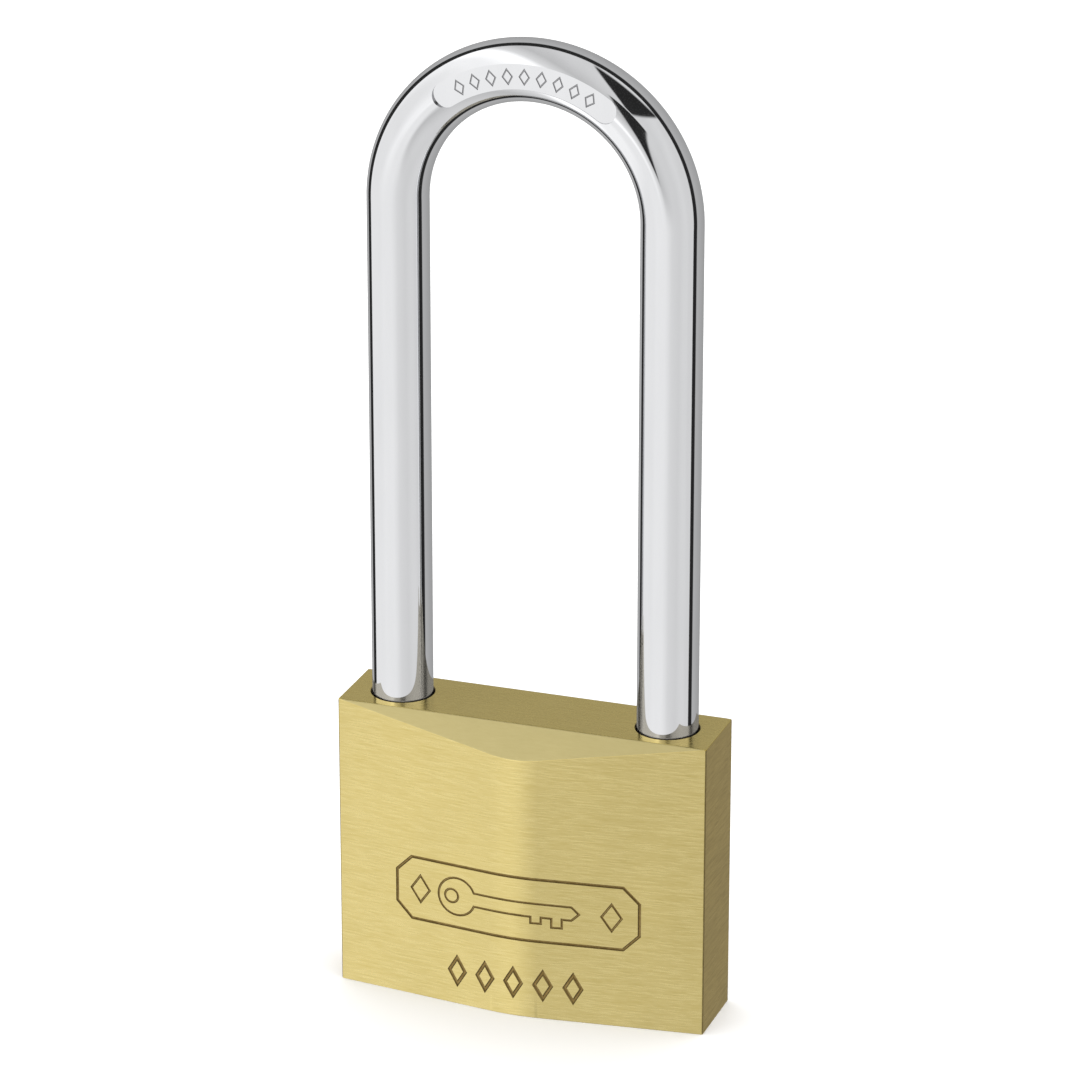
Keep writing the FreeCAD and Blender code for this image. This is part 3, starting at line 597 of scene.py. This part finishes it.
def bent_slot(middle, half, reach):
    """A slot bent about the bow's centre, as (x, height): an outer arc, a round end, an inner
    arc back, and the other round end, each an arc of its own circle."""
    sweep = np.linspace(-reach, reach, 49)
    spin = np.pi * np.arange(1, 12) / 12
    radius = np.concatenate([np.full(49, middle + half), middle + half * np.cos(spin),
                             np.full(49, middle - half), middle - half * np.cos(spin)])
    forward = half * np.sin(spin)
    still = np.zeros(49)
    ahead = np.concatenate([still, forward, still, -forward])
    angle = np.concatenate([sweep, np.full(11, reach), sweep[::-1], np.full(11, -reach)])
    x = radius * np.sin(angle) + ahead * np.cos(angle)
    height = radius * np.cos(angle) - ahead * np.sin(angle)
    return np.stack([x, height], axis=1)


def shackle_cutters():
    clear = rod + 1 * MM
    notch_floor, half_notch = 13.3 * MM, 3.2 * MM
    lift = 11.5 * MM
    cutters = []
    for sign, level in ((-1, bolt_level), (1, bolt_level), (1, bolt_level - lift)):
        near, far = sorted((sign * (leg - clear), sign * notch_floor))
        low = (near, -clear, level - half_notch)
        high = (far, clear, level + half_notch)
        cutters.append(box_cutter("notch", low, high, chrome))
    low = (leg + neck_radius, -clear, neck_low)
    high = (leg + clear, clear, flat_top)
    cutters.append(box_cutter("long_flat", low, high, chrome))
    pad_face = rod - 0.32 * MM
    outline = bent_slot(leg, 1.3 * MM, math.radians(35))
    front = ((1, 0, 0), (0, 0, 1))
    pad = prism("pad", outline, (0, -pad_face, bow_level), (0, -1 * MM, 0), chrome, front)
    # The walls of the pressed flat take the dark struck chrome, painted shade for the step at its ends.
    pad.data.materials.append(chrome_struck_and_shade)
    pad.data.polygons.foreach_set("material_index", [1] * len(outline) + [0, 0])
    cutters.append(pad)
    half_mark = (0.50 * MM, 0.74 * MM)
    small = np.array([(-1, 0), (0, 1), (1, 0), (0, -1)]) * half_mark
    for turn in np.radians(np.linspace(-28, 28, 9)):
        radius = leg + small[:, 1]
        angle = turn + small[:, 0] / leg
        path = np.stack([radius * np.sin(angle), bow_level + radius * np.cos(angle)], axis=1)
        # The marks are cut in the dark struck chrome, partly painted shade.
        cutters.append(engraved_line("pad_mark", path, 0.085 * MM, 0.09 * MM,
                                     lambda x: np.full_like(x, pad_face), chrome_struck_and_shade))
    return cutters


shackle = bent_rod()
cut(shackle, shackle_cutters())
fit(shackle, "shackle", "chrome", "shackle")

# ---------------------------------------------------------------- cylinder plug
# The turning core, lathe-turned from brass with a drive tang on top. The keyway is broached up
# its length, five pin chambers are drilled into it, and a ring groove takes the keeper pin.
plug_low, plug_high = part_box("cylinder_plug")
plug_radius = plug_high.y
plug_top = 19 * MM
keeper_level = middle_of("plug_retaining_pin").z


def make_turning_group():
    """Tool marks of a lathe: noise of the distance from an axis and of the distance along it.

    Centre is a point on the axis, and Across is 1 on the two directions square to it."""
    given_sockets = [("Centre", "NodeSocketVector"), ("Across", "NodeSocketVector")]
    tree, nodes, given, result = new_group("turning", given_sockets, [("Rings", "NodeSocketFloat")])
    place = nodes.add("ShaderNodeTexCoord").outputs["Object"]
    local = nodes.vector("SUBTRACT", place, given["Centre"])
    across = nodes.vector("MULTIPLY", local, given["Across"])
    along = nodes.vector("SUBTRACT", local, across)
    spot = nodes.add("ShaderNodeCombineXYZ")
    nodes.put(spot.inputs[0], nodes.math("MULTIPLY", nodes.vector("LENGTH", across), 7000.0))
    nodes.put(spot.inputs[1], nodes.math("MULTIPLY", nodes.vector("LENGTH", along), 7000.0))
    nodes.put(result["Rings"], nodes.noise(spot.outputs[0], 3.0, 0.6))
    return tree


turning_group = make_turning_group()


def turned_metal(name, colour, dark, centre, across, rough):
    """Metal with lathe marks round an axis in its colour, gloss and relief."""
    material = bpy.data.materials.new(name)
    material.use_nodes = True
    nodes = Nodes(material.node_tree)
    rings = nodes.group(turning_group, Centre=centre, Across=across)["Rings"]
    mark = nodes.rescale(rings, 0.32, 0.68, 0.0, 1.0)
    cloud = nodes.rescale(nodes.group(grain_group, Density=(900, 900, 900))["Fine"], 0.3, 0.7, 0.94, 1.04)
    shade = nodes.mix(1.0, nodes.mix(mark, dark, colour), cloud, "MULTIPLY")
    nodes.metal(shade, nodes.rescale(mark, 0.0, 1.0, rough[1], rough[0]), nodes.bump(rings, 0.10))
    return material


plug_brass = turned_metal("plug_brass", rgb(0.80, 0.64, 0.27), rgb(0.66, 0.50, 0.18),
                          (0, 0, 0), (1, 1, 0), (0.22, 0.34))


def cylinder_plug():
    chamfer = 0.25 * MM
    groove_floor, half_groove = 4.1 * MM, 0.82 * MM
    bottom = plug_low.z
    profile = [
        (plug_radius - chamfer, 0),
        (plug_radius, chamfer),
        (plug_radius, keeper_level - half_groove - bottom),
        (groove_floor, keeper_level - half_groove - bottom),
        (groove_floor, keeper_level + half_groove - bottom),
        (plug_radius, keeper_level + half_groove - bottom),
        (plug_radius, plug_top - bottom),
    ]
    plug = turned("plug_core", profile, (0, 0, bottom), (0, 0, 1), plug_brass, 128)
    right = [(0.80, -3.3), (0.80, -1.1), (0.15, -0.7), (0.15, 0.5), (0.80, 0.9), (0.80, 5.2)]
    left = [(-0.80, 5.2), (-0.80, 3.1), (-0.25, 2.7), (-0.25, 1.7), (-0.80, 1.3), (-0.80, -3.3)]
    keyway = np.array(right + left) * MM
    cutters = [prism("keyway", keyway, (0, 0, -1 * MM), (0, 0, 18 * MM), plug_brass)]
    for i in pin_numbers:
        level = middle_of(f"key_pin_{i}").z
        cutters.append(turned("plug_chamber", [(chamber_radius, 0), (chamber_radius, 6 * MM)],
                              (0, 0, level), (0, -1, 0), plug_brass, 48))
    cut(plug, cutters)
    round_edges(plug, 0.05 * MM, 40, 1)
    fit(plug, "plug", "brass", "cylinder_plug")
    half_long, half_wide = 3.2 * MM, 0.8 * MM
    tang = box_cutter("plug_tang", (-half_long, -half_wide, plug_top - 0.4 * MM),
                      (half_long, half_wide, plug_high.z), plug_brass)
    round_edges(tang, 0.08 * MM)
    fit(tang, "plug", "brass")


cylinder_plug()

# ---------------------------------------------------------------- cam disc
# A steel disc that sits on the plug's tang and turns with it. Two milled spiral slots in its top
# drive the bolts' pegs in and out over a quarter turn.
cam_low, cam_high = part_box("cam_disc")
peg_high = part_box("bolt_peg_right")[1]
peg_radius = peg_high.y
cam_steel = turned_metal("cam_steel", rgb(0.58, 0.58, 0.60), rgb(0.44, 0.44, 0.46),
                         (0, 0, 0), (1, 1, 0), (0.22, 0.36))


def spiral_outline(turned_by):
    """The slot's middle line runs out evenly with the angle. Its sides stand half a slot to the
    left and right of that line, and its ends are half circles."""
    inner = peg_high.x - peg_radius
    bolt_travel = 2.2 * MM
    rate = bolt_travel / (math.pi / 2)
    half_slot = 0.81 * MM
    angle = np.linspace(0, math.pi / 2, 25)
    out = np.stack([np.cos(angle), np.sin(angle)], axis=1)
    ahead = np.stack([-out[:, 1], out[:, 0]], axis=1)
    radius = (inner + rate * angle)[:, None]
    along = unit(out * rate + ahead * radius)
    side = np.stack([along[:, 1], -along[:, 0]], axis=1)
    line = out * radius
    spin = (np.pi * np.arange(1, 12) / 12)[:, None]
    far_end = line[-1] + half_slot * (np.cos(spin) * side[-1] + np.sin(spin) * along[-1])
    near_end = line[0] - half_slot * (np.cos(spin) * side[0] + np.sin(spin) * along[0])
    left, right = line - side * half_slot, line + side * half_slot
    outline = np.concatenate([right, far_end, left[::-1], near_end])
    cosine, sine = math.cos(turned_by), math.sin(turned_by)
    return outline @ np.array([(cosine, sine), (-sine, cosine)])


def cam_disc():
    radius = cam_high.y
    height = cam_high.z - cam_low.z
    chamfer = 0.15 * MM
    lower_edge = [(radius - chamfer, 0), (radius, chamfer)]
    profile = lower_edge + [(radius, height - chamfer), (radius - chamfer, height)]
    cam = turned("cam", profile, (0, 0, cam_low.z), (0, 0, 1), cam_steel, 128)
    slot_floor = 20.6 * MM
    rise = (0, 0, cam_high.z - slot_floor + 1 * MM)
    start = (0, 0, slot_floor)
    cutters = [prism("slot", spiral_outline(turn), start, rise, cam_steel) for turn in (0, math.pi)]
    half_long, half_wide = 3.25 * MM, 0.85 * MM
    cutters.append(box_cutter("tang_socket", (-half_long, -half_wide, cam_low.z - 1 * MM),
                              (half_long, half_wide, plug_high.z + 0.05 * MM), cam_steel))
    cut(cam, cutters)
    fit(cam, "plug", "steel", "cam_disc")


cam_disc()

# ---------------------------------------------------------------- locking bolts and pegs
# Two round steel bolts slide in the cross bore, one into each leg's notch. A steel peg pressed
# into the underside of each bolt runs in the cam's slot.
bolt_steel = turned_metal("bolt_steel", rgb(0.62, 0.62, 0.64), rgb(0.48, 0.48, 0.50),
                          (0, 0, bolt_level), (0, 1, 1), (0.20, 0.34))
peg_steel = polished_metal("peg_steel", rgb(0.64, 0.64, 0.66), 0.20, 0.05)


def rounded_pin(radius, length, corner):
    """Profile of a plain pin whose two ends are rounded by a quarter circle."""
    spin = np.linspace(0, np.pi / 2, 5)
    edge = radius - corner + corner * np.sin(spin)
    depth = corner * (1 - np.cos(spin))
    return list(zip(edge, depth)) + list(zip(edge[::-1], length - depth[::-1]))


for side, sign in (("left", -1), ("right", 1)):
    low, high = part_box(f"locking_bolt_{side}")
    radius = high.y
    length = high.x - low.x
    chamfer = 0.35 * MM
    inner_end = min(abs(low.x), abs(high.x))
    dimple, dimple_floor, dimple_depth = 0.2 * radius, 0.12 * radius, 0.3 * MM
    profile = [
        (dimple_floor, dimple_depth), (dimple, 0), (radius - chamfer, 0), (radius, chamfer),
        (radius, length - chamfer), (radius - chamfer, length), (dimple, length),
        (dimple_floor, length - dimple_depth),
    ]
    start = (sign * inner_end, 0, bolt_level)
    bolt = turned(f"bolt_{side}", profile, start, (sign, 0, 0), bolt_steel, 96)
    fit(bolt, f"bolt_{side}", "steel", f"locking_bolt_{side}")
    low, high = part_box(f"bolt_peg_{side}")
    middle = middle_of(f"bolt_peg_{side}")
    profile = rounded_pin(peg_radius, high.z - low.z, 0.15 * MM)
    peg = turned(f"peg_{side}", profile, (middle.x, 0, low.z), (0, 0, 1), peg_steel, 40)
    fit(peg, f"bolt_{side}", "steel", f"bolt_peg_{side}")

# ---------------------------------------------------------------- pin stacks
# Five stacks, each a pointed key pin in the plug, a flat driver pin behind it, a fine steel
# spring, and a brass cap pressed in flush with the left face and brushed over with it.
pin_alloy = brushed_metal("pin_alloy", rgb(0.72, 0.66, 0.50), rgb(0.60, 0.54, 0.38),
                          (400, 8000, 400), (0.20, 0.32), bump=0.05)
driver_brass = brushed_metal("driver_brass", rgb(0.76, 0.61, 0.28), rgb(0.62, 0.48, 0.19),
                             (8000, 400, 400), (0.22, 0.34), bump=0.05)
spring_steel = polished_metal("spring_steel", rgb(0.66, 0.66, 0.68), 0.17, 0.04)
tip_length, tip_radius = 0.55 * MM, 0.52 * MM


def coil_spring(name, turns, coil_radius, wire, length, start, axis):
    """A wire whose middle line goes round at coil_radius and climbs by one wire a turn at both
    ends, where the coils lie closed, and evenly between them. Each ring of the wire is set on
    the spoke and on the square of the spoke and the line's direction."""
    turn = np.linspace(0, turns, int(turns * 28) + 1)
    ease = np.clip((np.minimum(turn, turns - turn) - 0.6) / 0.6, 0, 1)
    open_share = ease * ease * (3 - 2 * ease)
    closed_climb = 2.05 * wire
    spread = length - 2 * wire - closed_climb * turns
    step = turn[1]
    share_climb = np.concatenate([[0], np.cumsum((open_share[1:] + open_share[:-1]) / 2 * step)])
    climb = wire + closed_climb * turn + spread * share_climb / share_climb[-1]
    axis = np.array(axis, float)
    across = np.roll(axis, 1)
    up = np.cross(axis, across)
    angle = (2 * np.pi * turn)[:, None]
    spoke = np.cos(angle) * across + np.sin(angle) * up
    line = np.array(start, float) + climb[:, None] * axis + coil_radius * spoke
    ahead = unit(np.gradient(line, axis=0))
    square = np.cross(ahead, spoke)
    ring = 2 * np.pi * np.arange(14) / 14
    offset = np.cos(ring)[:, None] * spoke[:, None] + np.sin(ring)[:, None] * square[:, None]
    return grid_piece(name, line[:, None] + wire * offset, spring_steel)


for i in pin_numbers:
    low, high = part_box(f"key_pin_{i}")
    level = (low.z + high.z) / 2
    radius = high.x
    length = high.y - low.y
    shank = rounded_pin(radius, 2 * length, 0.18 * MM)[:5]
    profile = shank + [(radius, length - tip_length), (tip_radius, length - 0.06 * MM), (0.4 * MM, length)]
    key_pin = turned(f"pin_key_{i}", profile, (0, low.y, level), (0, 1, 0), pin_alloy, 48)
    fit(key_pin, f"key_pin_{i}", "pin_brass", f"key_pin_{i}")

    low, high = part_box(f"driver_pin_{i}")
    profile = rounded_pin(radius, high.x - low.x, 0.14 * MM)
    driver = turned(f"pin_driver_{i}", profile, (high.x, 0, level), (-1, 0, 0), driver_brass, 48)
    fit(driver, f"driver_{i}", "pin_brass", f"driver_pin_{i}")

    cap_low, cap_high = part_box(f"chamber_cap_{i}")
    spring_length = low.x - cap_high.x
    spring = coil_spring(f"spring_pin_{i}", 8, 1.05 * MM, 0.175 * MM, spring_length,
                         (low.x, 0, level), (-1, 0, 0))
    fit(spring, "case", "steel", f"pin_spring_{i}")
    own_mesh(spring)

    profile = rounded_pin(cap_high.y, cap_high.x - cap_low.x, 0.04 * MM)
    # The cap takes the side faces' brass, painted darker as painted shade.
    cap = turned(f"cap_chamber_{i}", profile, (cap_low.x, 0, level), (1, 0, 0), brass_side_painted_shade, 64)
    fit(cap, "case", "brass", f"chamber_cap_{i}")

# ---------------------------------------------------------------- cross-bore cap and cross pins
# A brass cap closes the bolts' bore on the left face. Two steel pins are driven in from the back:
# one keeps the shackle's heel leg captive, the other holds the plug in its bore.
cap_low, cap_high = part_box("cross_bore_plug")
profile = rounded_pin(cap_high.y, cap_high.x - cap_low.x, 0.05 * MM)
# The cap takes the side faces' brass, painted darker as painted shade.
cap = turned("cap_cross_bore", profile, (cap_low.x, 0, bolt_level), (1, 0, 0), brass_side_painted_shade, 96)
fit(cap, "case", "brass", "cross_bore_plug")

cross_pin_steel = brushed_metal("cross_pin_steel", rgb(0.56, 0.56, 0.58), rgb(0.42, 0.42, 0.44),
                                (500, 8000, 500), (0.24, 0.36), bump=0.05)
for node in ("shackle_retaining_pin", "plug_retaining_pin"):
    low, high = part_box(node)
    middle = middle_of(node)
    profile = rounded_pin(middle.x - low.x, high.y - low.y, 0.12 * MM)
    pin = turned(f"cross_{node}", profile, (middle.x, low.y, middle.z), (0, 1, 0), cross_pin_steel, 48)
    fit(pin, "case", "steel", node)

# ---------------------------------------------------------------- shackle spring
# A stout coil spring of round steel wire at the bottom of the heel hole pushes the leg up when
# the bolts let go.
lift_spring = coil_spring("spring_shackle", 5, 2.4 * MM, 0.3 * MM, heel_end - heel_floor,
                          (leg, 0, heel_floor), (0, 0, 1))
fit(lift_spring, "case", "steel", "shackle_spring")

# ---------------------------------------------------------------- floor and light
# A white paper floor in a soft white tent. The tent shows in the metal only: bright in front,
# brightest to the left, grey behind, with a dark seam between and a dark opening for the lens.
floor_reach = 3.0
corners = [(-floor_reach, -floor_reach, 0), (floor_reach, -floor_reach, 0),
           (floor_reach, floor_reach, 0), (-floor_reach, floor_reach, 0)]
paper = bpy.data.materials.new("floor_paper")
paper.use_nodes = True
paper_nodes = Nodes(paper.node_tree)
paper_surface = paper_nodes.add("ShaderNodeBsdfDiffuse")
paper_surface.inputs["Color"].default_value = rgb(0.9, 0.9, 0.9)
paper_nodes.put(paper_nodes.add("ShaderNodeOutputMaterial").inputs["Surface"], paper_surface.outputs[0])
floor = mesh_piece("floor", corners, [[0, 1, 2, 3]], paper)
floor.visible_glossy = False

# Brightness of the tent's front from left to right: (place between -1 and 1, brightness). The low
# band is what the upright legs show, and the panels above and under it light the brushed faces.
PANEL_LIGHT = [
    (-0.95, 0.84), (-0.80, 0.98), (-0.72, 1.00), (-0.63, 1.18), (-0.54, 1.30), (-0.46, 0.78),
    (-0.30, 0.56), (-0.06, 0.66), (0.12, 0.70), (0.40, 0.69), (0.70, 0.74), (0.85, 0.70),
]
BAND_LIGHT = [
    (-0.90, 0.86), (-0.80, 0.89), (-0.40, 0.88), (-0.24, 0.83), (-0.06, 0.75),
    (0.12, 0.72), (0.40, 0.69), (0.63, 0.73), (0.76, 0.73), (0.85, 0.70),
]
BAND_HEIGHT = math.sin(-elevation)


def light_profile(nodes, place, profile):
    ramp = nodes.add("ShaderNodeValToRGB")
    nodes.put(ramp.inputs[0], nodes.rescale(place, -1, 1, 0, 1))
    stops = ramp.color_ramp.elements
    while len(stops) < len(profile):
        stops.new(0.5)
    for stop, (spot, value) in zip(stops, profile):
        stop.position = (spot + 1) / 2
        stop.color = rgb(value, value, value)
    return ramp.outputs[0]


def tent_brightness(nodes):
    """The tent as a function of direction: its right and upward shares seen from the lens, and
    its angle from the lens."""
    direction = nodes.add("ShaderNodeTexCoord").outputs["Generated"]
    rightward = Vector((-towards_camera.y, towards_camera.x, 0)).normalized()
    upward = towards_camera.cross(rightward)
    right = nodes.vector("DOT_PRODUCT", direction, tuple(rightward))
    up = nodes.vector("DOT_PRODUCT", direction, tuple(upward))
    facing = nodes.vector("DOT_PRODUCT", direction, tuple(towards_camera))
    angle = nodes.math("ARCCOSINE", facing)

    height = nodes.vector("DOT_PRODUCT", direction, (0, 0, 1))
    off_band = nodes.math("ABSOLUTE", nodes.math("SUBTRACT", height, BAND_HEIGHT))
    out_of_band = nodes.rescale(off_band, 0.05, 0.20, 0, 1, smooth=True)
    band = light_profile(nodes, right, BAND_LIGHT)
    front = nodes.mix(out_of_band, band, light_profile(nodes, right, PANEL_LIGHT))

    seam_right = nodes.math("MULTIPLY", right, math.radians(-20))
    seam_up = nodes.math("MULTIPLY", up, math.radians(-14))
    seam = nodes.math("ADD", nodes.math("ADD", seam_right, seam_up), math.radians(102))
    past = nodes.math("SUBTRACT", angle, seam)
    width = nodes.rescale(right, -0.95, -0.4, math.radians(34), math.radians(15), smooth=True)
    past_far_side = nodes.math("SUBTRACT", past, width)
    behind = nodes.rescale(past_far_side, 0, math.radians(45), 0.48, 0.36)
    seam_dark = 0.02
    into_seam = nodes.rescale(past, math.radians(-1.5), 0, 0, 1)
    out_of_seam = nodes.rescale(past_far_side, 0, math.radians(3), 0, 1)
    tent = nodes.mix(into_seam, front, rgb(seam_dark, seam_dark, seam_dark))
    tent = nodes.mix(out_of_seam, tent, behind)

    lean = math.radians(55)
    along = nodes.math("ADD", nodes.math("MULTIPLY", right, math.cos(lean)),
                       nodes.math("MULTIPLY", up, math.sin(lean)))
    across = nodes.math("ADD", nodes.math("MULTIPLY", right, -math.sin(lean)),
                        nodes.math("MULTIPLY", up, math.cos(lean)))
    bar = 0.17
    lower_gap = nodes.rescale(along, -0.6, bar, 0.04, 0.19)
    upper_gap = nodes.rescale(along, bar, 0.9, 0.04, 0.33)
    half_gap = nodes.math("MAXIMUM",
                          nodes.math("MULTIPLY", lower_gap, nodes.math("LESS_THAN", along, bar)),
                          nodes.math("MULTIPLY", upper_gap, nodes.math("GREATER_THAN", along, bar)))
    side_edge = nodes.math("SUBTRACT", half_gap, nodes.math("ABSOLUTE", across))
    in_gap = nodes.rescale(side_edge, 0, 0.03, 0, 1)
    from_bar = nodes.math("ABSOLUTE", nodes.math("SUBTRACT", along, bar))
    end_edge = nodes.rescale(from_bar, 0.74, 0.78, 1, 0)
    strip = nodes.rescale(from_bar, 0.012, 0.03, 0, 1)
    in_front = nodes.rescale(facing, 0.0, 0.2, 0, 1)
    opening = nodes.math("MULTIPLY", nodes.math("MULTIPLY", in_gap, end_edge),
                         nodes.math("MULTIPLY", strip, in_front))
    return nodes.mix(opening, tent, rgb(seam_dark, seam_dark, seam_dark))


tent = bpy.data.worlds.new("tent")
tent.use_nodes = True
bpy.context.scene.world = tent
tent_nodes = Nodes(tent.node_tree)
is_glossy = tent_nodes.add("ShaderNodeLightPath").outputs["Is Glossy Ray"]
room_light = 1.5
tent_light = tent_nodes.add("ShaderNodeBackground")
plain_light = rgb(room_light, room_light, room_light)
tent_colour = tent_nodes.mix(is_glossy, plain_light, tent_brightness(tent_nodes))
tent_nodes.put(tent_light.inputs["Color"], tent_colour)
tent_nodes.put(tent_nodes.add("ShaderNodeOutputWorld").inputs["Surface"], tent_light.outputs[0])
bpy.context.scene.view_settings.view_transform = "Standard"
bpy.context.scene.view_settings.look = "None"
